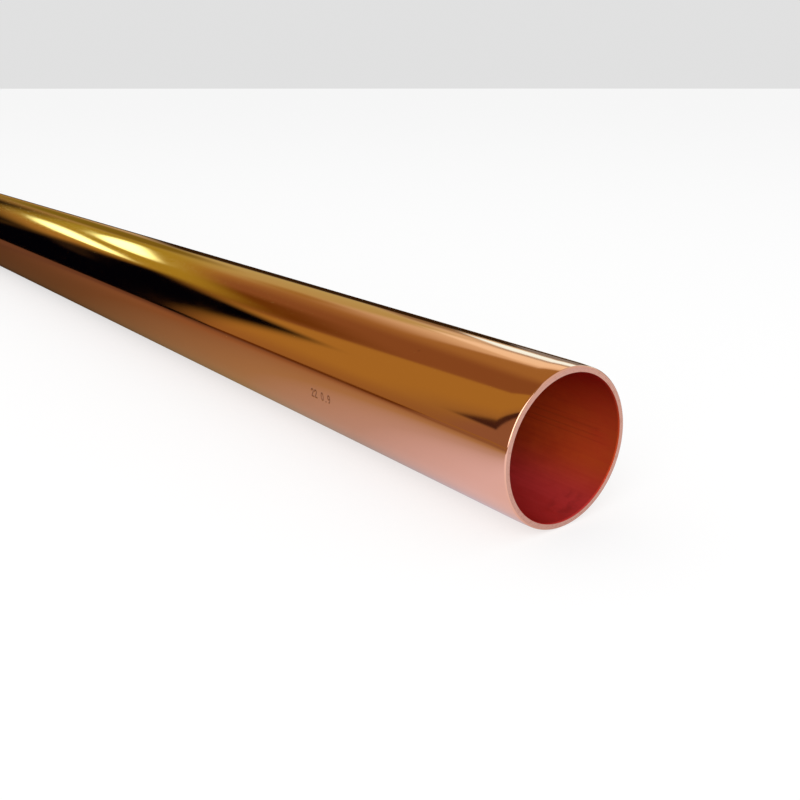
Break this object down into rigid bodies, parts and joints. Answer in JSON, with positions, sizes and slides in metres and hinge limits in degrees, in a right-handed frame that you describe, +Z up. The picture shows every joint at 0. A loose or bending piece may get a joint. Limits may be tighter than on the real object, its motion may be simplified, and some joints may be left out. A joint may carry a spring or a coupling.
{
  "type": "copper pipe",
  "caption": "Straight length of bright hard-drawn copper tube with a plain bore and square-cut ends, for water and heating pipework.",
  "frame": {"origin": "on the floor under the middle of the pipe, at the lowest line of its outside", "axes": "+X along the pipe, +Z up, +Y level across it; the pipe's axis is the line y = 0, z = 0.011 m"},
  "size_m": [1, 0.022, 0.022],
  "materials": {
    "copper": "bright drawn copper, with a duller red bore and a clean cut rim"
  },
  "bodies": {
    "root": {"pipe": "copper"}
  },
  "joints": []
}
